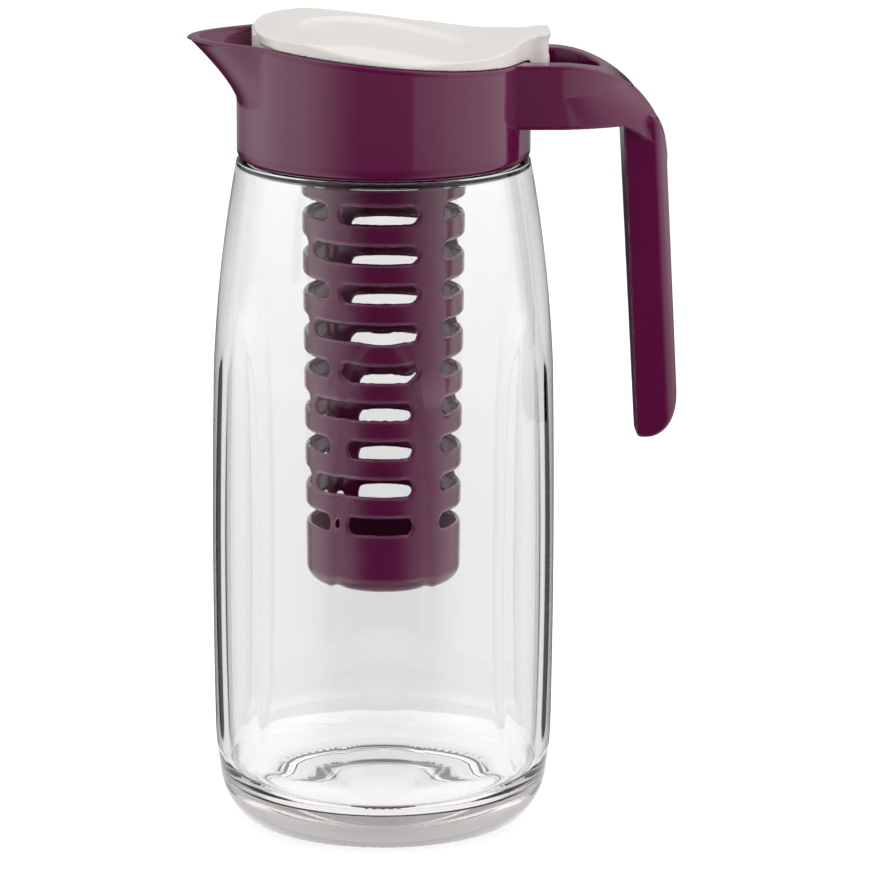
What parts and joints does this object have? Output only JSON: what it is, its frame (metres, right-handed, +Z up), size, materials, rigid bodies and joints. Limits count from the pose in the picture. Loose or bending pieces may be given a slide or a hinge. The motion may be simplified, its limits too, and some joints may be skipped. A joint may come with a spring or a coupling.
{
  "type": "fruit infuser pitcher",
  "caption": "Clear glass jug with arched facets, a screw-on plum collar that carries spout and open handle, a hinged cream lid and a slotted infuser basket hung inside.",
  "frame": {"origin": "middle of the base ring, on the surface that the jug stands on", "axes": "+Z up along the jug's axis, +X towards the handle, the spout points to -X"},
  "size_m": [0.1669, 0.1138, 0.2739],
  "materials": {
    "glass": "clear pressed glass",
    "plum_plastic": "glossy moulded plastic",
    "cream_plastic": "satin moulded plastic",
    "seal_silicone": "translucent silicone"
  },
  "bodies": {
    "jug": {"jug_base": "glass", "jug_wall": "glass", "jug_neck": "glass"},
    "seal": {"collar_seal": "seal_silicone"},
    "collar": {"collar": "plum_plastic"},
    "lid": {"lid": "cream_plastic"},
    "basket": {"basket_tube": "plum_plastic", "basket_flange": "plum_plastic"}
  },
  "joints": [
    {"name": "collar_rise", "type": "slide", "parent": "jug", "child": "seal", "axis": [0, 0, 1], "range_m": [0, 0.0075]},
    {"name": "collar_turn", "type": "hinge", "parent": "seal", "child": "collar", "pos_m": [0, 0, 0.256], "axis": [0, 0, 1], "range_deg": [0, 450]},
    {"name": "lid_hinge", "type": "hinge", "parent": "collar", "child": "lid", "pos_m": [0.053, 0, 0.259], "axis": [0, 1, 0], "range_deg": [0, 100]},
    {"name": "basket_twist", "type": "hinge", "parent": "collar", "child": "basket", "pos_m": [0, 0, 0.2585], "axis": [0, 0, 1], "range_deg": [0, 45]}
  ],
  "couplings": [
    {"joint": "collar_rise", "follows": "collar_turn", "m_per_rad": 0.00095485}
  ]
}
